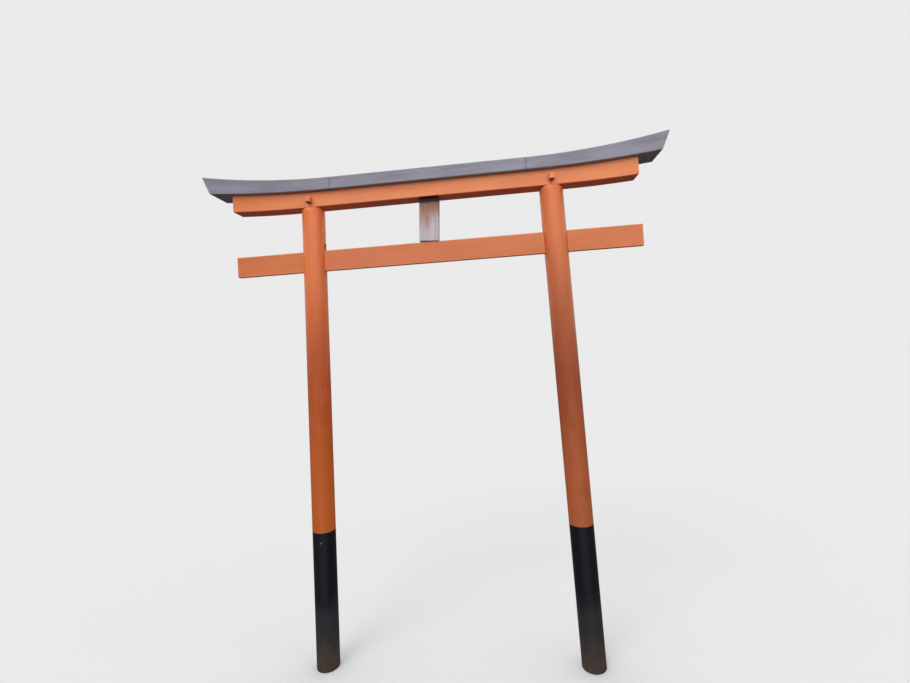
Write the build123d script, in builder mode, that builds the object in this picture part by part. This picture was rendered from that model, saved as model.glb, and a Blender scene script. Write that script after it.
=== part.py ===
from build123d import *
import os
from math import cos, radians, sin, sqrt, tan

# Wooden torii gate. Millimetres, +Z up, +Y to the rear, X along the beams.
# The origin is the centre of the left post's foot, on the ground.

# Posts
post_diameter = 124.0
post_spacing = 1420.0
post_height = 2509.0
post_lean = 1.42
post_top_round = 30.0
post_seat = 9.0
seat_play = 0.4
tenon_width = 72.0
tenon_depth = 30.0
tenon_height = 53.0
tenon_play = 0.5

# Nuki, the board through both posts
nuki_drop = 234.0
nuki_height = 111.5
nuki_thickness = 27.0
nuki_overhang = 446.0
nuki_arris = 2.0
mortise_play = 0.5

# Wedges above the nuki
wedge_space = 38.0
wedge_taper = 8.5
wedge_recess = 20.0
wedge_meeting_gap = 8.0

# Shimaki, the lower of the two top beams
shimaki_depth = 96.0
shimaki_height = 80.0
shimaki_overhang = 440.0
shimaki_end_rise = 12.0
shimaki_seat_margin = 5.0
shimaki_arris = 2.5

# Kasagi, the top beam, in three lengths
kasagi_depth = 160.0
kasagi_height = 63.0
kasagi_ridge = 12.0
kasagi_middle_length = 1040.0
kasagi_overhang = 111.5
kasagi_underside_rise = 33.0
kasagi_tip_rise = 66.0
kasagi_end_slant = 23.0
kasagi_arris = 2.5
kasagi_joint_arris = 1.0

# Gakuzuka, the strut between nuki and shimaki
strut_width = 105.0
strut_depth = 45.0
strut_offset = -12.0
strut_lean = 3.4
strut_arris = 2.0
strut_tenon_width = 72.0
strut_tenon_depth = 24.0
strut_tenon_root = 12.0
strut_tenon_reach = 24.0
strut_tenon_play = 0.5

# Pegs through the shimaki and the post tenons
peg_width = 26.0
peg_height = 30.0
peg_rise = 21.0
peg_front = 32.0
peg_back = 8.0
peg_edge = 3.0
peg_play = 0.3

# Places worked out from the sizes above
gate_centre = post_spacing / 2
lean_slope = tan(radians(post_lean))
shimaki_bottom = post_height - post_seat
nuki_top = shimaki_bottom - nuki_drop
nuki_bottom = nuki_top - nuki_height
post_half_at_nuki = gate_centre - nuki_top * lean_slope
post_half_at_top = gate_centre - shimaki_bottom * lean_slope
nuki_half_length = post_half_at_nuki + nuki_overhang
shimaki_half_length = post_half_at_top + shimaki_overhang
shimaki_top = shimaki_bottom + shimaki_height
shimaki_straight_half = post_half_at_top + post_diameter / 2 + shimaki_seat_margin
kasagi_top = shimaki_top + kasagi_height
kasagi_half_length = shimaki_half_length + kasagi_overhang
splice_half = kasagi_middle_length / 2

# The strut is cut square and leans: it stands on its right foot and meets the shimaki at its top left.
strut_foot = strut_offset + strut_width / 2
strut_across = strut_width * sin(radians(strut_lean))
strut_length = (nuki_drop - strut_across) / cos(radians(strut_lean))
strut_top_centre = (
    strut_foot
    - strut_width / 2 * cos(radians(strut_lean))
    + strut_length * sin(radians(strut_lean))
)

# Front views are drawn on this plane: x to the right, y up, zero at the gate's centre.
front = Plane(origin=(gate_centre, 0, 0), x_dir=(1, 0, 0), z_dir=(0, -1, 0))

os.makedirs("parts", exist_ok=True)


def arc_radius(run, rise):
    """Radius of an arc that leaves the level and climbs by rise over run."""
    return (run**2 + rise**2) / (2 * rise)


def arc_height(run, radius):
    """Height that such an arc has gained after run."""
    return radius - sqrt(radius**2 - run**2)


underside_radius = arc_radius(kasagi_half_length - splice_half, kasagi_underside_rise)
kasagi_end_depth = kasagi_height + kasagi_tip_rise - kasagi_underside_rise
tip_half = kasagi_half_length + kasagi_end_depth * tan(radians(kasagi_end_slant))
tip_radius = arc_radius(tip_half - splice_half, kasagi_tip_rise)
shimaki_top_rise = arc_height(shimaki_half_length - splice_half, underside_radius)


def save(part, name):
    """Label a finished piece and write its file."""
    part.label = name
    export_step(part, f"parts/{name}.step")


def wedge_ceiling(distance):
    """Height of the mortise's sloped ceiling at a distance from the post's axis."""
    inside = post_diameter / 2 - distance
    return nuki_top + wedge_space - inside * tan(radians(wedge_taper))


def make_log(side, play):
    """Leaning round log with a rounded top, wider all round by the play."""
    lean = radians(post_lean)
    axis_plane = Plane(
        origin=(gate_centre + side * gate_centre, 0, 0),
        x_dir=(cos(lean), 0, side * sin(lean)),
        z_dir=(-side * sin(lean), 0, cos(lean)),
    )
    with BuildPart() as log:
        with BuildSketch(axis_plane.offset(-post_diameter)):
            Circle(post_diameter / 2 + play)
        extrude(amount=post_height + 2 * post_diameter)
        split(bisect_by=Plane.XY, keep=Keep.TOP)
        split(bisect_by=Plane.XY.offset(post_height), keep=Keep.BOTTOM)
        fillet(log.edges().group_by(Axis.Z)[-1], radius=post_top_round + play)
    return log.part


def make_post(side):
    """Post with a top tenon, a wedged mortise and a peg hole."""
    mortise_centre = side * post_half_at_nuki
    reach = post_diameter
    with BuildPart() as post:
        add(make_log(side, 0))
        with BuildSketch(Plane.XY.offset(post_height)):
            with Locations((gate_centre + side * post_half_at_top, 0)):
                Rectangle(tenon_width, tenon_depth)
        extrude(amount=tenon_height)
        with BuildSketch(front):
            with BuildLine():
                Polyline(
                    (mortise_centre - reach, nuki_bottom),
                    (mortise_centre + reach, nuki_bottom),
                    (mortise_centre + reach, wedge_ceiling(reach)),
                    (mortise_centre, wedge_ceiling(0)),
                    (mortise_centre - reach, wedge_ceiling(reach)),
                    close=True,
                )
            make_face()
        extrude(amount=nuki_thickness / 2 + mortise_play, both=True, mode=Mode.SUBTRACT)
        with BuildSketch(front):
            with Locations((side * post_half_at_top, shimaki_bottom + peg_rise)):
                Rectangle(
                    peg_width + 2 * peg_play,
                    peg_height + peg_play,
                    align=(Align.CENTER, Align.MIN),
                )
        extrude(amount=post_diameter, both=True, mode=Mode.SUBTRACT)
    return post.part


def make_wedge(side, outward):
    """Wedge between the nuki's top and the mortise's sloped ceiling."""
    near = wedge_meeting_gap / 2
    far = post_diameter / 2 - wedge_recess
    centre = side * post_half_at_nuki
    with BuildPart() as wedge:
        with BuildSketch(front):
            with BuildLine():
                Polyline(
                    (centre + outward * near, nuki_top),
                    (centre + outward * far, nuki_top),
                    (centre + outward * far, wedge_ceiling(far)),
                    (centre + outward * near, wedge_ceiling(near)),
                    close=True,
                )
            make_face()
        extrude(amount=nuki_thickness / 2, both=True)
    return wedge.part


def make_peg(side):
    """Square peg driven from the front through the shimaki and the post's tenon."""
    length = shimaki_depth + peg_front + peg_back
    with BuildPart() as peg:
        with BuildSketch(front.offset(-shimaki_depth / 2 - peg_back)):
            with Locations((side * post_half_at_top, shimaki_bottom + peg_rise)):
                Rectangle(peg_width, peg_height, align=(Align.CENTER, Align.MIN))
        extrude(amount=length)
        ends = peg.faces().sort_by(Axis.Y)
        chamfer(ends[0].edges() + ends[-1].edges(), length=peg_edge)
    return peg.part


def make_kasagi_end(side):
    """Outer length of the kasagi: it curves up, and its end is cut on a slant."""
    spare = kasagi_depth
    slant = tan(radians(kasagi_end_slant))
    blank_top = kasagi_top + kasagi_tip_rise + spare
    blank_rise = blank_top - shimaki_top - kasagi_underside_rise
    eave_at_spare = kasagi_top + arc_height(tip_half + spare - splice_half, tip_radius)
    ridge_slope = kasagi_ridge / (kasagi_depth / 2)
    with BuildPart() as end:
        with BuildSketch(front):
            with BuildLine():
                bottom = TangentArc(
                    (side * splice_half, shimaki_top),
                    (side * kasagi_half_length, shimaki_top + kasagi_underside_rise),
                    tangent=(side, 0),
                )
                Polyline(
                    bottom @ 1,
                    (side * (kasagi_half_length + blank_rise * slant), blank_top),
                    (side * splice_half, blank_top),
                    bottom @ 0,
                )
            make_face()
        extrude(amount=kasagi_depth / 2, both=True)
        for face_side in (1, -1):
            with BuildSketch(front.offset(face_side * kasagi_depth / 2)):
                with BuildLine():
                    eave = TangentArc(
                        (side * splice_half, kasagi_top),
                        (side * (tip_half + spare), eave_at_spare),
                        tangent=(side, 0),
                    )
                    Polyline(
                        eave @ 0,
                        (side * splice_half, shimaki_bottom),
                        (side * (tip_half + spare), shimaki_bottom),
                        eave @ 1,
                    )
                make_face()
            extrude(
                amount=kasagi_depth * sqrt(1 + ridge_slope**2),
                dir=(0, face_side, ridge_slope),
                mode=Mode.INTERSECT,
            )
        ridge_left_out = end.edges().sort_by(SortBy.LENGTH)[:-1]
        joint = gate_centre + side * splice_half
        chamfer(
            ridge_left_out.filter_by(lambda edge: abs(edge.center().X - joint) > kasagi_arris),
            length=kasagi_arris,
        )
        chamfer(end.faces().filter_by(Axis.X).edges(), length=kasagi_joint_arris)
    return end.part


# Posts, wedges and pegs
for side, side_name in ((-1, "left"), (1, "right")):
    save(make_post(side), f"{side_name}_post")
    save(make_wedge(side, side), f"{side_name}_outer_wedge")
    save(make_wedge(side, -side), f"{side_name}_inner_wedge")
    save(make_peg(side), f"{side_name}_peg")
    save(make_kasagi_end(side), f"kasagi_{side_name}_end")

# Nuki
with BuildPart() as nuki:
    with BuildSketch(front):
        with Locations((0, nuki_bottom)):
            Rectangle(2 * nuki_half_length, nuki_height, align=(Align.CENTER, Align.MIN))
    extrude(amount=nuki_thickness / 2, both=True)
    chamfer(nuki.edges(), length=nuki_arris)
save(nuki.part, "nuki")

# Gakuzuka
with BuildPart() as gakuzuka:
    with BuildSketch(front):
        with Locations((strut_foot, nuki_top)):
            Rectangle(
                strut_width,
                strut_length,
                rotation=-strut_lean,
                align=(Align.MAX, Align.MIN),
            )
    extrude(amount=strut_depth / 2, both=True)
    chamfer(gakuzuka.edges().group_by(Axis.Z)[1:-1], length=strut_arris)
    with BuildSketch(Plane.XY.offset(shimaki_bottom - strut_tenon_root)):
        with Locations((gate_centre + strut_top_centre, 0)):
            Rectangle(strut_tenon_width, strut_tenon_depth)
    extrude(amount=strut_tenon_root + strut_tenon_reach)
save(gakuzuka.part, "gakuzuka")

# Shimaki
with BuildPart() as shimaki:
    with BuildSketch(front):
        with BuildLine():
            for side in (-1, 1):
                underside = TangentArc(
                    (side * shimaki_straight_half, shimaki_bottom),
                    (side * shimaki_half_length, shimaki_bottom + shimaki_end_rise),
                    tangent=(side, 0),
                )
                upper = TangentArc(
                    (side * splice_half, shimaki_top),
                    (side * shimaki_half_length, shimaki_top + shimaki_top_rise),
                    tangent=(side, 0),
                )
                Line(underside @ 1, upper @ 1)
            Line(
                (-shimaki_straight_half, shimaki_bottom),
                (shimaki_straight_half, shimaki_bottom),
            )
            Line((-splice_half, shimaki_top), (splice_half, shimaki_top))
        make_face()
    extrude(amount=shimaki_depth / 2, both=True)
    across = shimaki.edges().filter_by(Axis.Y).sort_by(Axis.X)
    outlines = shimaki.faces().filter_by(Axis.Y).edges()
    chamfer(outlines + across[:2] + across[-2:], length=shimaki_arris)
    add([make_log(side, seat_play) for side in (-1, 1)], mode=Mode.SUBTRACT)
    with BuildSketch(Plane.XY.offset(post_height)):
        with Locations((gate_centre, 0)):
            with GridLocations(2 * post_half_at_top, 0, 2, 1):
                Rectangle(tenon_width + 2 * tenon_play, tenon_depth + 2 * tenon_play)
    extrude(amount=tenon_height + tenon_play, mode=Mode.SUBTRACT)
    with BuildSketch(front):
        with Locations((0, shimaki_bottom + peg_rise)):
            with GridLocations(2 * post_half_at_top, 0, 2, 1):
                Rectangle(
                    peg_width + 2 * peg_play,
                    peg_height + peg_play,
                    align=(Align.CENTER, Align.MIN),
                )
    extrude(amount=shimaki_depth, both=True, mode=Mode.SUBTRACT)
    with BuildSketch(Plane.XY.offset(shimaki_bottom)):
        with Locations((gate_centre + strut_top_centre, 0)):
            Rectangle(
                strut_tenon_width + 2 * strut_tenon_play,
                strut_tenon_depth + 2 * strut_tenon_play,
            )
    extrude(amount=strut_tenon_reach, mode=Mode.SUBTRACT)
save(shimaki.part, "shimaki")

# Middle length of the kasagi
with BuildPart() as kasagi_middle:
    with BuildSketch(Plane(origin=(gate_centre, 0, 0), x_dir=(0, 1, 0), z_dir=(1, 0, 0))):
        with BuildLine():
            Polyline(
                (-kasagi_depth / 2, shimaki_top),
                (kasagi_depth / 2, shimaki_top),
                (kasagi_depth / 2, kasagi_top),
                (0, kasagi_top + kasagi_ridge),
                (-kasagi_depth / 2, kasagi_top),
                close=True,
            )
        make_face()
    extrude(amount=splice_half, both=True)
    ridge_left_out = kasagi_middle.edges().filter_by(Axis.X).sort_by(Axis.Z)[:-1]
    chamfer(ridge_left_out, length=kasagi_arris)
    chamfer(kasagi_middle.faces().filter_by(Axis.X).edges(), length=kasagi_joint_arris)
save(kasagi_middle.part, "kasagi_middle")
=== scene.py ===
from collections import namedtuple
from functools import reduce
from math import cos, pi, radians, sin, tan

import bpy
from mathutils import Matrix, Vector


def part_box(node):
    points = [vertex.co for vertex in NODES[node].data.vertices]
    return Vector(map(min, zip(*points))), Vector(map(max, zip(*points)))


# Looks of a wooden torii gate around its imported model. Metres, +Z up, and -Y is the front.
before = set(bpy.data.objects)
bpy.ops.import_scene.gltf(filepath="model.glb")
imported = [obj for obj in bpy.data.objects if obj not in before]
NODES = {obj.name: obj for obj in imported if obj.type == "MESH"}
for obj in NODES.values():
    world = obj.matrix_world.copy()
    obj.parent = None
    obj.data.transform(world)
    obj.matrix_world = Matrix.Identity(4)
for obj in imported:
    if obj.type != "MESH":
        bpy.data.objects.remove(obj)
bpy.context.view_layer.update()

# Sizes read from the frame
POST_LOW, POST_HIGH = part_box("left_post")
NUKI_LOW, NUKI_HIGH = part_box("nuki")
STRUT_LOW, STRUT_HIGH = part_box("gakuzuka")
SHIMAKI_LOW, SHIMAKI_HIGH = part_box("shimaki")
KASAGI_LOW, KASAGI_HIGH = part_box("kasagi_middle")
KASAGI_TIP, KASAGI_TIP_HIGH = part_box("kasagi_left_end")
PEG_LOW, PEG_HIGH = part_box("left_peg")

CENTRE_X = (NUKI_LOW.x + NUKI_HIGH.x) / 2
GROUND = POST_LOW.z
POST_RADIUS = POST_HIGH.y
NUKI_HALF = CENTRE_X - NUKI_LOW.x
SHIMAKI_HALF = CENTRE_X - SHIMAKI_LOW.x
SPLICE_HALF = (KASAGI_HIGH.x - KASAGI_LOW.x) / 2
PEG_HALF = (PEG_HIGH.x - PEG_LOW.x) / 2
PEG_CENTRE = (PEG_LOW + PEG_HIGH) / 2
LEFT_FOOT_X = 0.0
RIGHT_FOOT_X = 2 * CENTRE_X
PEGS_X = (PEG_CENTRE.x, RIGHT_FOOT_X - PEG_CENTRE.x)
LEAN_SLOPE = PEG_CENTRE.x / SHIMAKI_LOW.z

# Curves of the top beams: where each starts, and its radius
UNDERSIDE_START = 0.713
UNDERSIDE_RISE = 0.012
UNDERSIDE_RADIUS = (SHIMAKI_HALF - UNDERSIDE_START) ** 2 / 2 / UNDERSIDE_RISE
SEAT_RADIUS = (SHIMAKI_HALF - SPLICE_HALF) ** 2 / 2 / (SHIMAKI_HIGH.z - KASAGI_LOW.z)
EAVE_RADIUS = (KASAGI_LOW.x - KASAGI_TIP.x) ** 2 / 2 / (KASAGI_TIP_HIGH.z - KASAGI_HIGH.z)
ROOF_SLOPE = 0.15
END_SLANT = tan(radians(23))

# The strut is cut square and leans on its right foot
STRUT_WIDTH = 0.105
STRUT_LEAN = radians(3.4)
STRUT_FOOT_X = STRUT_LOW.x + STRUT_WIDTH * cos(STRUT_LEAN)
STRUT_TOP_X = STRUT_HIGH.x - STRUT_WIDTH / 2 * cos(STRUT_LEAN)


def linear(red, green, blue):
    """Shader colour of a display colour from 0 to 255."""
    shares = [value / 255 for value in (red, green, blue)]
    return tuple(c / 12.92 if c < 0.0405 else ((c + 0.055) / 1.055) ** 2.4 for c in shares) + (1.0,)


# Colours
# Painted shade: the right post's reds are darker, duller copies of the left post's
VERMILION_RIGHT_SHADED = {"left": linear(230, 117, 53), "right": linear(220, 114, 55)}
VERMILION_DEEP_RIGHT_SHADED = {"left": linear(222, 107, 44), "right": linear(210, 104, 47)}
# Painted shade: the darker red that a post takes lower down
VERMILION_LOW_SHADE = {"left": linear(178, 78, 27), "right": linear(152, 70, 34)}
VERMILION_FADED = linear(236, 130, 72)
RUBBED_RED = linear(214, 90, 62)
DUSTY_RED = {"left": linear(214, 112, 40), "right": linear(206, 116, 70)}
NUKI_RED = linear(215, 117, 62)
NUKI_DEEP = linear(207, 109, 56)
# Painted light: the shimaki and its pegs take a lighter copy of the nuki's reds
SHIMAKI_LIT_RED = linear(236, 136, 78)
SHIMAKI_LIT_DEEP = linear(226, 121, 64)
# Painted bounce light: the redder colour of the beams' undersides
UNDERSIDE_BOUNCE_RED = linear(244, 97, 40)
# A pale pink for chips and worn edges, also used for painted highlight, sheen and reflection
PALE_PINK_AND_HIGHLIGHT = linear(243, 152, 112)
# A dark stain colour, also used for painted shade below the nuki, on the shimaki above the strut
# and under the pegs
STAIN_AND_SHADE = linear(92, 36, 20)
FOOT_BLACK = linear(3, 9, 19)
FOOT_DUSTY = linear(25, 31, 41)
FOOT_FILM = linear(40, 36, 42)
FOOT_SOILED = linear(70, 55, 48)
SOIL = linear(140, 126, 112)
BARE_SCRAPE = linear(165, 168, 174)
KASAGI_GREY = linear(143, 141, 155)
KASAGI_DARK = linear(122, 120, 133)
# Pale grey for the streaks, also used for painted highlight on the edges
KASAGI_PALE_AND_HIGHLIGHT = linear(168, 165, 174)
KASAGI_JOINT = linear(48, 44, 48)
WOOD_GREY = linear(201, 195, 203)
WOOD_LILAC = linear(186, 174, 182)
WOOD_PINK = linear(176, 131, 118)
WOOD_TAN = linear(166, 128, 104)
WOOD_CRACK = linear(96, 78, 78)
WOOD_SHADE = linear(46, 18, 13)
WEDGE_TAN = linear(150, 118, 92)
FLOOR_PALE = linear(226, 226, 226)
FLOOR_PALER = linear(229, 229, 229)
WHITE = (1.0, 1.0, 1.0, 1.0)

# How strongly each surface reflects
PAINT_SPECULAR = 0.5
KASAGI_SPECULAR = 0.4
STRUT_SPECULAR = 0.3
WEDGE_SPECULAR = 0.25


class Nodes:
    """Short calls for the nodes of one tree."""

    def __init__(self, tree, coordinates):
        self.tree = tree
        self.tree.nodes.clear()
        place = self.add("ShaderNodeTexCoord").outputs[coordinates]
        self.x, self.y, self.z = self.add("ShaderNodeSeparateXYZ", {"Vector": place}).outputs

    def add(self, kind, inputs=(), **settings):
        """A new node, with its settings and its inputs."""
        node = self.tree.nodes.new(kind)
        for key, value in settings.items():
            setattr(node, key, value)
        for key, value in dict(inputs).items():
            self.feed(node.inputs[key], value)
        return node

    def feed(self, socket, value):
        """Link an output to a socket, or set the socket's own value."""
        if isinstance(value, bpy.types.NodeSocket):
            self.tree.links.new(value, socket)
        else:
            socket.default_value = value

    def math(self, operation, *values):
        node = self.add("ShaderNodeMath", operation=operation)
        for socket, value in zip(node.inputs, values):
            self.feed(socket, value)
        return node.outputs[0]

    def plus(self, a, b):
        return self.math("ADD", a, b)

    def minus(self, a, b):
        return self.math("SUBTRACT", a, b)

    def times(self, a, b):
        return self.math("MULTIPLY", a, b)

    def scaled(self, value, factor, offset):
        return self.math("MULTIPLY_ADD", value, factor, offset)

    def size(self, a):
        return self.math("ABSOLUTE", a)

    def smaller(self, a, b):
        return self.math("MINIMUM", a, b)

    def larger(self, a, b):
        return self.math("MAXIMUM", a, b)

    def overlap(self, *masks):
        """A mask that is whole only where all of these are."""
        return reduce(self.times, masks)

    def turned(self, u, v, angle):
        """The coordinates u and v along axes turned by an angle."""
        return (
            self.plus(self.times(u, cos(angle)), self.times(v, sin(angle))),
            self.minus(self.times(v, cos(angle)), self.times(u, sin(angle))),
        )

    def step(self, value, low, high, start=0.0, end=1.0):
        """Smooth change from start to end as value goes from low to high."""
        inputs = {"Value": value, "From Min": low, "From Max": high, "To Min": start, "To Max": end}
        return self.add("ShaderNodeMapRange", inputs, interpolation_type="SMOOTHSTEP").outputs[0]


class Shading(Nodes):
    """One material whose grain runs along X or Z: its textures, coats and shader."""

    def __init__(self, name, grain="X"):
        self.material = bpy.data.materials.new(name)
        self.material.use_nodes = True
        super().__init__(self.material.node_tree, "Object")
        self.grain = "XYZ".index(grain)
        self.axes = [self.x, self.y, self.z]
        self.from_centre = self.size(self.minus(self.x, CENTRE_X))

    def texture(self, wide, long, seed=0.0, detail=3.0, roughness=0.55, distortion=0.0):
        """Noise from 0 to 1, with so many waves per metre across the grain and along it."""
        scales = [wide] * 3
        scales[self.grain] = long
        offsets = (seed, seed * 1.7, seed * 0.6)
        parts = [self.scaled(*part) for part in zip(self.axes, scales, offsets)]
        inputs = {
            "Vector": self.add("ShaderNodeCombineXYZ", dict(zip("XYZ", parts))).outputs[0],
            "Scale": 1.0,
            "Detail": detail,
            "Roughness": roughness,
            "Distortion": distortion,
        }
        return self.add("ShaderNodeTexNoise", inputs).outputs[0]

    def wobble(self, value, texture, reach):
        """The value, made uneven by a texture."""
        return self.plus(value, self.times(self.minus(texture, 0.5), reach))

    def cracks(self, course, width, region, threshold):
        """Thin lines where one texture crosses its middle value and another is past a threshold."""
        lines = self.step(self.size(self.minus(course, 0.5)), 0.0, width, 1.0, 0.0)
        return self.times(lines, self.step(region, threshold, threshold + 0.10))

    def mix(self, factor, a, b):
        node = self.add("ShaderNodeMix", data_type="RGBA")
        factor_input, first_colour, second_colour = (node.inputs[i] for i in (0, 6, 7))
        self.feed(factor_input, factor)
        self.feed(first_colour, a)
        self.feed(second_colour, b)
        return node.outputs[2]

    def coat(self, colour, paint, value, low, high, share=1.0, within=None):
        """The colour, covered by a share of paint as value goes from low to high, within a mask."""
        cover = self.step(value, low, high, 0.0, share)
        if within is not None:
            cover = self.times(within, cover)
        return self.mix(cover, colour, paint)

    def relief(self, *layers):
        """Surface relief from pairs of a height from 0 to 1 and its depth in metres."""
        normal = None
        for height, depth in layers:
            inputs = {"Height": height, "Distance": depth, "Strength": 1.0}
            if normal is not None:
                inputs["Normal"] = normal
            normal = self.add("ShaderNodeBump", inputs).outputs[0]
        return normal

    def curve_rise(self, start, radius):
        """How far a curved beam has risen here."""
        past = self.larger(self.minus(self.from_centre, start), 0.0)
        return self.times(self.times(past, past), 0.5 / radius)

    def near_edge(self, across, deep, high):
        """Distance from a box's nearest edge, from those inside its three pairs of faces."""
        most = self.larger(self.larger(across, deep), high)
        return self.minus(self.plus(self.plus(across, deep), high), most)

    def finish(self, colour, roughness, normal, specular):
        """The finished material."""
        inputs = {
            "Base Color": colour,
            "Roughness": roughness,
            "Normal": normal,
            "Specular IOR Level": specular,
        }
        shader = self.add("ShaderNodeBsdfPrincipled", inputs)
        self.add("ShaderNodeOutputMaterial", {"Surface": shader.outputs[0]})
        return self.material


def dress(node_name, material):
    """Give a CAD node its material."""
    node = NODES[node_name]
    for slot in node.material_slots:
        slot.material = material
    if not node.material_slots:
        node.data.materials.append(material)


# Posts

POST_SEEDS = {"left": 3.0, "right": 11.0}

# Heights between which a post's paint changes, in the direction of the change
DEEPENING = (2.34, 1.48)
DUSTING = (1.56, 0.90)
RUBBED_FROM_ABOVE = (1.85, 1.45)
RUBBED_FROM_BELOW = (0.78, 0.98)
UNDER_SHIMAKI = (SHIMAKI_LOW.z - 0.022, SHIMAKI_LOW.z - 0.002)
UNDER_NUKI = (NUKI_LOW.z - 0.075, NUKI_LOW.z - 0.004)
NUKI_UNDERSIDE = (NUKI_LOW.z + 0.002, NUKI_LOW.z - 0.002)
FOOT_PAINT_TOP = 0.740
FILM_GROWING = (0.42, 0.26)
SOILING = (0.24, GROUND + 0.02)

RUBBED_SHARE = {"left": 0.45, "right": 0.10}
SHADE_HALF_WIDTH = (0.024, 0.010)
FOOT_EDGE = (-0.0006, 0.0006)

# A scrape in the left foot's paint: its height, its place around the post, its tilt and half sizes
SCRAPE_HEIGHT = 0.688
SCRAPE_TURN = radians(4)
SCRAPE_TILT = 0.62
SCRAPE_HALF_LENGTH = (0.0068, 0.0048)
SCRAPE_HALF_WIDTH = (0.0018, 0.0008)
SCRAPE_RAGGED = 0.003


def foot_paint(s, seed):
    """Colour and roughness of black paint under dust that thickens towards the ground."""
    dust = s.texture(46, 9, seed, detail=5, roughness=0.65)
    colour = s.coat(FOOT_BLACK, FOOT_DUSTY, dust, 0.5, 0.8, 0.3)
    clouds = s.texture(26, 14, seed + 6, detail=5, roughness=0.65)
    height = s.wobble(s.z, clouds, 0.22)
    film = s.step(height, *FILM_GROWING)
    colour = s.mix(s.times(film, 0.9), colour, FOOT_FILM)
    soiled = s.step(height, *SOILING)
    colour = s.mix(soiled, colour, FOOT_SOILED)
    drops = s.texture(120, 80, seed, detail=5, roughness=0.7)
    colour = s.coat(colour, SOIL, drops, 0.52, 0.74, 0.30, within=soiled)
    specks = s.texture(190, 160, seed + 8, detail=1)
    colour = s.coat(colour, SOIL, specks, 0.74, 0.79, 0.7, within=film)
    return colour, s.plus(s.scaled(dust, 0.25, 0.22), s.times(film, 0.28))


def scrape_mask(s, across):
    """A short ragged scrape on the front of a post's foot."""
    turn = s.math("ARCTAN2", across, s.times(s.y, -1.0))
    around = s.times(s.minus(turn, SCRAPE_TURN), POST_RADIUS)
    along, aside = s.turned(around, s.minus(s.z, SCRAPE_HEIGHT), SCRAPE_TILT)
    ragged = s.texture(900, 900, detail=2)
    return s.overlap(
        s.step(s.wobble(s.size(aside), ragged, SCRAPE_RAGGED), *SCRAPE_HALF_WIDTH),
        s.step(s.wobble(s.size(along), ragged, SCRAPE_RAGGED), *SCRAPE_HALF_LENGTH),
    )


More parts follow.
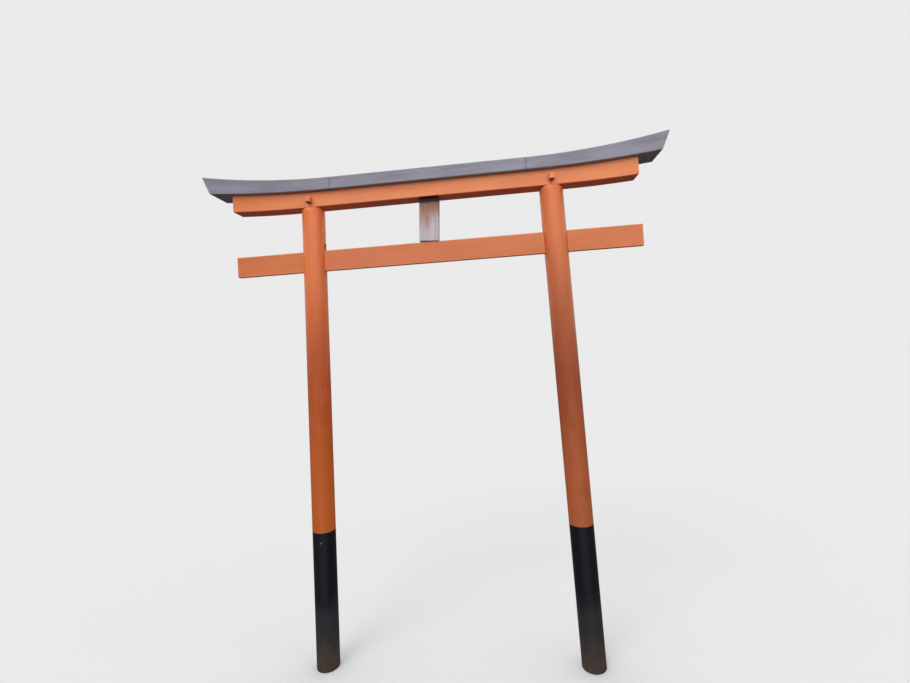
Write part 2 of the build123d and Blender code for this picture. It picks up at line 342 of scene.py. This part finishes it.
def post_paint(side, foot_x):
    """Glossy vermilion on a planed log, with a black foot."""
    s = Shading(f"post_paint_{side}", "Z")
    seed = POST_SEEDS[side]
    lean = LEAN_SLOPE if side == "left" else -LEAN_SLOPE
    across = s.minus(s.minus(s.x, foot_x), s.times(s.z, lean))
    s.axes = [across, s.y, s.z]

    # Slow changes of tone, brush marks down the grain, and painted shade that darkens the post
    # lower down
    tone = s.texture(9, 1.7, seed)
    streaks = s.texture(75, 1.3, seed, detail=4)
    brush = s.texture(330, 3, seed)
    colour = s.coat(VERMILION_DEEP_RIGHT_SHADED[side], VERMILION_RIGHT_SHADED[side], tone, 0.3, 0.62)
    colour = s.coat(colour, VERMILION_FADED, tone, 0.55, 0.85, 0.5)
    height = s.wobble(s.z, tone, 0.5)
    colour = s.coat(colour, VERMILION_LOW_SHADE[side], height, *DEEPENING, 0.95)
    colour = s.coat(colour, DUSTY_RED[side], height, *DUSTING, 0.45)
    colour = s.coat(colour, VERMILION_DEEP_RIGHT_SHADED[side], streaks, 0.5, 0.8, 0.2)
    colour = s.coat(colour, VERMILION_FADED, brush, 0.5, 0.85, 0.16)

    # Patches at hand height where the coat is rubbed to a pinker red, and deeper ones between them
    patches = s.texture(19, 9, seed + 13, detail=4, roughness=0.62)
    reach = s.overlap(s.step(s.z, *RUBBED_FROM_ABOVE), s.step(s.z, *RUBBED_FROM_BELOW))
    colour = s.coat(colour, RUBBED_RED, patches, 0.51, 0.65, RUBBED_SHARE[side], within=reach)
    colour = s.coat(colour, VERMILION_LOW_SHADE[side], patches, 0.47, 0.36, 0.45, within=reach)

    # Painted sheen: a paler band just under the shimaki
    colour = s.coat(colour, PALE_PINK_AND_HIGHLIGHT, s.wobble(s.z, streaks, 0.02), *UNDER_SHIMAKI, 0.4)

    # Painted shade below the nuki, darkening the flanks of the post
    shade_below_nuki = s.overlap(
        s.step(s.z, *UNDER_NUKI),
        s.step(s.z, *NUKI_UNDERSIDE),
        s.step(s.wobble(s.size(s.y), streaks, 0.03), *SHADE_HALF_WIDTH),
    )
    colour = s.mix(s.times(shade_below_nuki, 0.6), colour, STAIN_AND_SHADE)

    # Fine checks that the paint bridges
    course = s.texture(30, 0.8, seed, detail=2, roughness=0.4)
    checks = s.cracks(course, 0.006, s.texture(8, 1.6, seed + 5, detail=2), 0.56)
    colour = s.mix(s.times(checks, 0.2), colour, STAIN_AND_SHADE)

    # Rare small chips, filled with a paler coat
    chips = s.step(s.texture(130, 85, seed + 9, detail=1), 0.780, 0.800, 0, 0.4)
    colour = s.mix(chips, colour, PALE_PINK_AND_HIGHLIGHT)

    # Black foot
    edge = s.wobble(FOOT_PAINT_TOP, s.texture(30, 30, seed, detail=2), 0.003)
    in_foot = s.step(s.minus(edge, s.z), *FOOT_EDGE)
    foot_colour, foot_roughness = foot_paint(s, seed)
    colour = s.mix(in_foot, colour, foot_colour)
    if side == "left":
        colour = s.mix(s.times(scrape_mask(s, across), 0.85), colour, BARE_SCRAPE)
    above_foot = s.times(s.scaled(streaks, 0.14, 0.27), s.minus(1.0, in_foot))
    roughness = s.plus(above_foot, s.times(foot_roughness, in_foot))

    # The log's waviness and planed facets, the grain and checks under the paint, the brushed film
    normal = s.relief(
        (s.texture(9, 1.6, seed, detail=2), 0.0016),
        (s.texture(24, 7, seed + 4, detail=2), 0.0006),
        (s.texture(58, 0.5, seed + 2, detail=1), 0.0010),
        (s.texture(210, 3, seed), 0.00016),
        (brush, 0.00008),
        (s.texture(700, 420, seed, detail=2), 0.00005),
        (s.times(s.plus(checks, chips), -1.0), 0.0004),
    )
    return s.finish(colour, roughness, normal, PAINT_SPECULAR)


dress("left_post", post_paint("left", LEFT_FOOT_X))
dress("right_post", post_paint("right", RIGHT_FOOT_X))


# Painted beams

# A streak down the shimaki's front, and a sheltered stretch under a piece that gets painted shade
Run = namedtuple("Run", "x top bottom half_width paint")
Shelter = namedtuple("Shelter", "x half_width bottom")

RUN_SHARE = 0.5
RUN_FADE = 0.012
SHIMAKI_FRONT = (SHIMAKI_LOW.y + 0.008, SHIMAKI_LOW.y + 0.004)

# Distances from a face, an edge or a post between which the paint changes
UNDERSIDE = (0.0035, 0.0015)
END_FACE = (0.0012, 0.0004)
WORN_LIT_EDGE = (0.0065, 0.0010)
# Painted reflection: how far from a post the nuki shows its paler strip
POST_REFLECTION = (0.010, 0.005)


def beam_paint(name, colours, seed, inside, runs=(), shelters=(), end_grain=True, reflects_posts=False):
    """Vermilion on sawn timber, the grain running along X, the paint thin on the edges, with a
    painted highlight along them.
    """
    deep, middle, faded = colours
    s = Shading(name)
    across, deep_in, under, over = inside(s)
    edge = s.near_edge(across, deep_in, s.smaller(under, over))

    # Slow changes of tone, streaks along the grain
    tone = s.texture(10, 2.2, seed)
    streaks = s.texture(85, 1.6, seed, detail=4)
    brush = s.texture(330, 4, seed)
    colour = s.coat(deep, middle, tone, 0.3, 0.65)
    colour = s.coat(colour, faded, tone, 0.55, 0.85, 0.5)
    colour = s.coat(colour, deep, streaks, 0.5, 0.8, 0.16)
    colour = s.coat(colour, faded, brush, 0.5, 0.85, 0.14)

    # Fine checks along the grain
    course = s.texture(34, 0.9, seed, detail=2, roughness=0.4)
    checks = s.cracks(course, 0.006, s.texture(9, 1.8, seed + 5, detail=2), 0.58)
    colour = s.mix(s.times(checks, 0.13), colour, STAIN_AND_SHADE)

    # Painted bounce light: the underside is deeper and redder, standing for red light thrown up
    # from the paint around it
    colour = s.coat(colour, UNDERSIDE_BOUNCE_RED, under, *UNDERSIDE, 0.85)

    # Paint thin and chalky along the edges, and a painted highlight along them
    rub = s.texture(160, 24, seed, detail=4, roughness=0.6)
    worn_and_lit = s.step(s.wobble(edge, rub, 0.007), *WORN_LIT_EDGE)
    colour = s.mix(s.times(worn_and_lit, 0.7), colour, PALE_PINK_AND_HIGHLIGHT)

    # Painted reflection of the posts: a paler strip on the nuki beside them
    if reflects_posts:
        post_axis = s.scaled(s.z, -LEAN_SLOPE, CENTRE_X)
        from_post = s.minus(s.size(s.minus(s.from_centre, post_axis)), POST_RADIUS)
        colour = s.coat(colour, PALE_PINK_AND_HIGHLIGHT, s.wobble(from_post, rub, 0.006), *POST_REFLECTION, 0.28)

    # End grain drinks the paint
    if end_grain:
        rings = s.step(s.texture(60, 1, seed, roughness=0.6), 0.35, 0.7, 0.1, 0.5)
        colour = s.mix(s.times(s.step(across, *END_FACE), rings), colour, deep)

    # Darker and paler streaks below the pegs
    for run in runs:
        from_run = s.size(s.wobble(s.minus(s.x, run.x), rub, run.half_width))
        mask = s.overlap(
            s.step(s.z, run.bottom, run.bottom + RUN_FADE),
            s.step(s.z, run.top + 0.002, run.top - 0.002),
            s.step(from_run, run.half_width, run.half_width * 0.3),
            s.step(s.y, *SHIMAKI_FRONT),
        )
        colour = s.mix(s.times(mask, RUN_SHARE), colour, run.paint)

    # Painted shade on the sheltered underside
    for shelter in shelters:
        from_shelter = s.wobble(s.size(s.minus(s.x, shelter.x)), rub, 0.02)
        painted_shade = s.overlap(
            s.step(s.z, shelter.bottom + 0.0030, shelter.bottom + 0.0010),
            s.step(from_shelter, shelter.half_width + 0.006, shelter.half_width - 0.004),
        )
        colour = s.mix(s.times(painted_shade, 0.8), colour, STAIN_AND_SHADE)

    # Sawn waves, the grain, the brushed film and the checks
    normal = s.relief(
        (s.texture(11, 1.8, seed, detail=2), 0.0010),
        (s.texture(240, 5, seed), 0.00018),
        (brush, 0.00008),
        (s.texture(600, 600, seed, detail=2), 0.00005),
        (s.times(checks, -1.0), 0.0003),
    )
    roughness = s.plus(s.scaled(streaks, 0.16, 0.32), s.times(worn_and_lit, 0.15))
    return s.finish(colour, roughness, normal, PAINT_SPECULAR)


def inside_nuki(s):
    """Distances inside the nuki's ends, sides, underside and top."""
    across = s.minus(NUKI_HALF, s.from_centre)
    deep = s.minus(NUKI_HIGH.y, s.size(s.y))
    return across, deep, s.minus(s.z, NUKI_LOW.z), s.minus(NUKI_HIGH.z, s.z)


def inside_shimaki(s):
    """The same for the shimaki, whose underside and top curve up."""
    across = s.minus(SHIMAKI_HALF, s.from_centre)
    deep = s.minus(SHIMAKI_HIGH.y, s.size(s.y))
    underside_rise = s.curve_rise(UNDERSIDE_START, UNDERSIDE_RADIUS)
    under = s.minus(s.minus(s.z, SHIMAKI_LOW.z), underside_rise)
    over = s.minus(s.plus(s.curve_rise(SPLICE_HALF, SEAT_RADIUS), KASAGI_LOW.z), s.z)
    return across, deep, under, over


def inside_peg(s):
    """The same for either peg."""
    from_peg = s.size(s.minus(s.from_centre, CENTRE_X - PEG_CENTRE.x))
    across = s.minus(PEG_HALF, from_peg)
    deep = s.smaller(s.minus(s.y, PEG_LOW.y), s.minus(PEG_HIGH.y, s.y))
    return across, deep, s.minus(s.z, PEG_LOW.z), s.minus(PEG_HIGH.z, s.z)


def peg_runs():
    """A darker streak and a paler streak below each peg, on the shimaki's front."""
    bottom = SHIMAKI_LOW.z
    runs = []
    for x, outward in zip(PEGS_X, (-1, 1)):
        runs.append(Run(x - outward * 0.004, PEG_LOW.z, bottom, 0.006, STAIN_AND_SHADE))
        runs.append(Run(x + outward * 0.009, PEG_LOW.z, bottom - 0.01, 0.007, VERMILION_FADED))
    return runs


NUKI_COLOURS = (NUKI_DEEP, NUKI_RED, VERMILION_FADED)
SHIMAKI_LIT_COLOURS = (SHIMAKI_LIT_DEEP, SHIMAKI_LIT_RED, VERMILION_FADED)
STRUT_SHELTER = Shelter(STRUT_TOP_X, STRUT_WIDTH / 2, SHIMAKI_LOW.z)
PEG_SHELTERS = [Shelter(x, 2 * PEG_HALF, PEG_LOW.z) for x in PEGS_X]

dress("nuki", beam_paint("nuki_paint", NUKI_COLOURS, 5.0, inside_nuki, reflects_posts=True))
shimaki_paint = beam_paint(
    "shimaki_paint", SHIMAKI_LIT_COLOURS, 8.0, inside_shimaki, peg_runs(), [STRUT_SHELTER]
)
dress("shimaki", shimaki_paint)
peg_paint = beam_paint(
    "peg_paint", SHIMAKI_LIT_COLOURS, 2.0, inside_peg, shelters=PEG_SHELTERS, end_grain=False
)
for side in ("left", "right"):
    dress(f"{side}_peg", peg_paint)


# Kasagi

# Distances from an edge or a joint between which the paint changes
KASAGI_EDGE_HIGHLIGHT = (0.0055, 0.0005)
DAMP_REACH = (0.030, 0.0)
JOINT_LINE = (0.0011, 0.0004)


def kasagi_paint():
    """Dark paint weathered to a lilac grey, streaked along the beam, with open joints."""
    s = Shading("kasagi_paint")
    eave_rise = s.curve_rise(SPLICE_HALF, EAVE_RADIUS)
    seat_rise = s.curve_rise(SPLICE_HALF, SEAT_RADIUS)
    roof = s.minus(s.plus(eave_rise, KASAGI_HIGH.z), s.times(s.size(s.y), ROOF_SLOPE))
    over = s.minus(roof, s.z)
    under = s.minus(s.minus(s.z, KASAGI_LOW.z), seat_rise)
    end_at_zero = CENTRE_X - KASAGI_TIP.x - KASAGI_TIP_HIGH.z * END_SLANT
    across = s.minus(s.scaled(s.z, END_SLANT, end_at_zero), s.from_centre)
    edge = s.near_edge(across, s.minus(KASAGI_HIGH.y, s.size(s.y)), s.smaller(over, under))
    rub = s.texture(140, 20, 3.0, detail=4, roughness=0.6)
    checked = s.texture(9, 3, 12.0, detail=2)

    # The textures below follow the beam's curve
    level = s.minus(s.z, s.times(s.plus(seat_rise, eave_rise), 0.5))
    s.axes = [s.x, s.y, level]
    tone = s.texture(14, 3, 4.0, detail=4, roughness=0.6)
    streaks = s.texture(120, 3.5, 6.0, detail=4, roughness=0.6)
    fibres = s.texture(420, 9, 2.0, detail=4, roughness=0.6)
    colour = s.coat(KASAGI_DARK, KASAGI_GREY, tone, 0.3, 0.65)
    colour = s.coat(colour, KASAGI_PALE_AND_HIGHLIGHT, streaks, 0.48, 0.8, 0.5)
    colour = s.coat(colour, KASAGI_JOINT, fibres, 0.56, 0.75, 0.16)

    # Painted highlight along the edges, dark in the joints and their damp neighbourhood
    colour = s.coat(colour, KASAGI_PALE_AND_HIGHLIGHT, s.wobble(edge, rub, 0.008), *KASAGI_EDGE_HIGHLIGHT, 0.6)
    from_joint = s.size(s.minus(s.from_centre, SPLICE_HALF))
    colour = s.coat(colour, KASAGI_DARK, s.wobble(from_joint, tone, 0.09), *DAMP_REACH, 0.45)
    colour = s.coat(colour, KASAGI_JOINT, from_joint, *JOINT_LINE, 0.9)

    # Checks along the grain
    checks = s.cracks(s.texture(40, 1.4, 9.0, detail=2, roughness=0.4), 0.010, checked, 0.56)
    colour = s.mix(s.times(checks, 0.4), colour, KASAGI_JOINT)

    normal = s.relief((streaks, 0.0006), (fibres, 0.0003), (s.times(checks, -1.0), 0.0008))
    return s.finish(colour, s.scaled(streaks, 0.25, 0.42), normal, KASAGI_SPECULAR)


kasagi_material = kasagi_paint()
for part in ("middle", "left_end", "right_end"):
    dress(f"kasagi_{part}", kasagi_material)


# Gakuzuka

# Places across the strut, from its middle
BOARD_SPLIT = (-0.004, 0.006)
WARM_STRIP_CENTRE = -0.006
WARM_STRIP = (0.020, 0.006)

# Distances below the shimaki, and from an edge
PINK_SHELTER = (0.155, 0.060)
WARM_SHELTER = (0.16, 0.09)
WIDE_SHADE = (0.095, 0.024)
NARROW_SHADE = (0.034, 0.018)
STRUT_WORN = (0.005, 0.001)


def strut_wood():
    """Bare weathered wood, the grain running up the leaning strut, pinker near the shimaki."""
    s = Shading("gakuzuka_wood", "Z")
    from_foot, along = s.turned(s.minus(s.x, STRUT_FOOT_X), s.minus(s.z, STRUT_LOW.z), -STRUT_LEAN)
    across = s.plus(from_foot, STRUT_WIDTH / 2)
    s.axes = [across, s.y, along]
    bands = s.texture(60, 1.8, 2.0, detail=4, roughness=0.6, distortion=0.25)
    fibres = s.texture(420, 9, 5.0, detail=4, roughness=0.6)
    patches = s.texture(24, 12, 9.0)

    # Two boards' worth of tone: the left part duller than the right
    left_part = s.minus(1.0, s.step(s.wobble(across, patches, 0.02), *BOARD_SPLIT))
    colour = s.coat(WOOD_LILAC, WOOD_GREY, bands, 0.35, 0.65)
    colour = s.mix(s.times(left_part, 0.3), colour, WOOD_LILAC)

    # Pinkish brown towards the sheltered top, and a warm middle strip that reaches lower
    shelter = s.minus(SHIMAKI_LOW.z, s.z)
    uneven = s.wobble(s.wobble(shelter, patches, 0.07), bands, 0.06)
    pinkness = s.minus(uneven, s.times(left_part, 0.03))
    colour = s.coat(colour, WOOD_PINK, pinkness, *PINK_SHELTER)
    middle = s.step(s.size(s.plus(across, -WARM_STRIP_CENTRE)), *WARM_STRIP)
    colour = s.coat(colour, WOOD_TAN, uneven, *WARM_SHELTER, 0.35, within=middle)

    # Dark streaks, grey pores and specks
    streaks = s.texture(150, 8, 31.0, detail=4, roughness=0.65)
    colour = s.coat(colour, WOOD_CRACK, streaks, 0.48, 0.76, 0.42)
    colour = s.coat(colour, WOOD_CRACK, fibres, 0.56, 0.76, 0.40)
    blotches = s.texture(44, 20, 27.0, roughness=0.6)
    colour = s.coat(colour, WOOD_TAN, blotches, 0.50, 0.74, 0.30)
    specks = s.texture(260, 90, 14.0, detail=2)
    colour = s.coat(colour, WOOD_CRACK, specks, 0.70, 0.76, 0.55)

    # A few open checks
    course = s.texture(46, 1.6, 21.0, detail=2, roughness=0.4)
    checks = s.cracks(course, 0.010, s.texture(14, 5, 17.0, detail=2), 0.52)
    colour = s.mix(s.times(checks, 0.22), colour, WOOD_CRACK)

    # Edges bleached, and painted shade under the shimaki, darkest at the top
    inside = s.minus(STRUT_WIDTH / 2, s.size(across))
    edge = s.near_edge(inside, s.minus(STRUT_HIGH.y, s.size(s.y)), along)
    colour = s.coat(colour, WOOD_GREY, s.wobble(edge, bands, 0.006), *STRUT_WORN, 0.35)
    sheltered = s.wobble(shelter, bands, 0.016)
    painted_shade = s.plus(
        s.step(sheltered, *WIDE_SHADE, 0, 0.38),
        s.step(sheltered, *NARROW_SHADE, 0, 0.58),
    )
    colour = s.mix(painted_shade, colour, WOOD_SHADE)

    normal = s.relief(
        (bands, 0.0004),
        (s.times(streaks, -1.0), 0.0003),
        (fibres, 0.0003),
        (s.times(checks, -1.0), 0.0005),
    )
    return s.finish(colour, s.scaled(fibres, 0.2, 0.62), normal, STRUT_SPECULAR)


dress("gakuzuka", strut_wood())


# Wedges

WEDGE_ROUGHNESS = 0.65


def wedge_wood():
    """Weathered softwood with orange brushed over it."""
    s = Shading("wedge_wood")
    fibres = s.texture(260, 12, 5.0, detail=4, roughness=0.6)
    colour = s.coat(WEDGE_TAN, WOOD_TAN, fibres, 0.35, 0.7)
    colour = s.coat(colour, NUKI_DEEP, s.texture(60, 30, 1.0, detail=4), 0.44, 0.52, 0.85)
    return s.finish(colour, WEDGE_ROUGHNESS, s.relief((fibres, 0.0005)), WEDGE_SPECULAR)


wedge_material = wedge_wood()
for side in ("left", "right"):
    for end in ("outer", "inner"):
        dress(f"{side}_{end}_wedge", wedge_material)


# Floor

FLOOR_RADIUS = 60.0
FLOOR_CORNERS = 72
FLOOR_ROUGHNESS = 0.9


def make_floor():
    """A wide pale disc."""
    angles = [2 * pi * i / FLOOR_CORNERS for i in range(FLOOR_CORNERS)]
    vertices = [
        (CENTRE_X + FLOOR_RADIUS * cos(a), FLOOR_RADIUS * sin(a), GROUND) for a in angles
    ]
    mesh = bpy.data.meshes.new("floor")
    mesh.from_pydata(vertices, [], [list(range(FLOOR_CORNERS))])
    floor = bpy.data.objects.new("floor", mesh)
    bpy.context.scene.collection.objects.link(floor)
    s = Shading("floor_pale")
    speckle = s.texture(90, 90, detail=4, roughness=0.6)
    colour = s.coat(FLOOR_PALE, FLOOR_PALER, speckle, 0.3, 0.7)
    normal = s.relief((speckle, 0.0002))
    floor.data.materials.append(s.finish(colour, FLOOR_ROUGHNESS, normal, specular=0.0))
    floor.visible_diffuse = False
    floor.visible_glossy = False
    return floor


floor = make_floor()


# Light

KEY_LIGHT = {
    "place": (1.15, -2.8, 3.3),
    "target": (CENTRE_X, 0, 2.5),
    "width": 5.4,
    "height": 2.2,
    "radiance": 1.36,
}
RIM_LIGHT = {
    "place": (0.5, 4.5, 4.4),
    "target": (CENTRE_X, 0, 2.3),
    "width": 1.2,
    "height": 2.2,
    "radiance": 1.6,
}
SUN_PLACE = (-1.4, -2.4, 3.4)
SUN_STRENGTH = 0.66
SUN_SPREAD = radians(30)


def aimed(place, target):
    """Matrix of an object at place whose -Z looks at target."""
    turn = (Vector(target) - Vector(place)).to_track_quat("-Z", "Y")
    return Matrix.Translation(place) @ turn.to_matrix().to_4x4()


def soft_light(name, place, target, width, height, radiance):
    """A soft rectangular studio light that doesn't light the floor."""
    light = bpy.data.lights.new(name, "AREA")
    light.shape = "RECTANGLE"
    light.size = width
    light.size_y = height
    light.energy = radiance * pi * width * height
    holder = bpy.data.objects.new(name, light)
    holder.matrix_world = aimed(place, target)
    holder.visible_camera = False
    bpy.context.scene.collection.objects.link(holder)
    lit = bpy.data.collections.new(f"{name}_lit")
    lit.objects.link(floor)
    lit.collection_objects[0].light_linking.link_state = "EXCLUDE"
    holder.light_linking.receiver_collection = lit


def make_sun():
    """A wide, weak sun for the soft shadow on the floor."""
    light = bpy.data.lights.new("sun", "SUN")
    light.energy = SUN_STRENGTH
    light.angle = SUN_SPREAD
    holder = bpy.data.objects.new("sun", light)
    holder.matrix_world = aimed(SUN_PLACE, (0, 0, 0))
    bpy.context.scene.collection.objects.link(holder)


soft_light("key", **KEY_LIGHT)
soft_light("rim", **RIM_LIGHT)
make_sun()


# World

# Radiances, with +Y behind the gate and +X at its right
SEEN_RADIANCE = 0.827
BACK_RADIANCE = 0.78
FRONT_RADIANCE = 0.58
RIGHT_EXTRA = 0.42
LEFT_EXTRA = 0.36
ZENITH_GAIN = 1.35
BELOW_RADIANCE = 0.10
BELOW_FRONT_RADIANCE = 0.38


def make_world():
    """Seen, it is plain and pale. Its light is strongest above and at the sides, and weak below."""
    world = bpy.data.worlds.new("studio")
    world.use_nodes = True
    bpy.context.scene.world = world
    w = Nodes(world.node_tree, "Generated")
    right = w.step(w.x, 0.4, 0.95, 0.0, RIGHT_EXTRA)
    left = w.step(w.x, -0.4, -0.95, 0.0, LEFT_EXTRA)
    above = w.plus(w.step(w.y, 0.9, -0.9, BACK_RADIANCE, FRONT_RADIANCE), right)
    above = w.times(w.plus(above, left), w.step(w.z, 0.25, 1.0, 1.0, ZENITH_GAIN))
    below = w.step(w.y, -0.55, -0.90, BELOW_RADIANCE, BELOW_FRONT_RADIANCE)
    past_horizon = w.step(w.z, -0.06, 0.10)
    light = w.plus(below, w.times(w.minus(above, below), past_horizon))
    seen = w.add("ShaderNodeLightPath").outputs["Is Camera Ray"]
    strength = w.plus(w.times(seen, SEEN_RADIANCE), w.times(w.minus(1.0, seen), light))
    background = w.add("ShaderNodeBackground", {"Color": WHITE, "Strength": strength})
    w.add("ShaderNodeOutputWorld", {"Surface": background.outputs[0]})


make_world()
bpy.context.scene.view_settings.view_transform = "Standard"


# Camera

CAMERA_PLACE = Vector((1.0246, -2.3881, 1.6848))
CAMERA_YAW = radians(-5.322)
CAMERA_PITCH = radians(0.892)
CAMERA_ROLL = radians(-3.564)
CAMERA_LENS = 17.7
SENSOR_WIDTH = 36.0


def make_camera():
    """Camera at the photo's place and angle, with a wider field that takes in the feet."""
    ahead = Vector((sin(CAMERA_YAW), cos(CAMERA_YAW), 0))
    forward = cos(CAMERA_PITCH) * ahead + Vector((0, 0, sin(CAMERA_PITCH)))
    right = Vector((cos(CAMERA_YAW), -sin(CAMERA_YAW), 0))
    up = right.cross(forward)
    rolled_right = cos(CAMERA_ROLL) * right + sin(CAMERA_ROLL) * up
    rolled_up = cos(CAMERA_ROLL) * up - sin(CAMERA_ROLL) * right
    turn = Matrix((rolled_right, rolled_up, -forward)).transposed()
    lens = bpy.data.cameras.new("camera")
    lens.sensor_width = SENSOR_WIDTH
    lens.lens = CAMERA_LENS
    camera = bpy.data.objects.new("camera", lens)
    camera.matrix_world = Matrix.Translation(CAMERA_PLACE) @ turn.to_4x4()
    bpy.context.scene.collection.objects.link(camera)
    bpy.context.scene.camera = camera


make_camera()
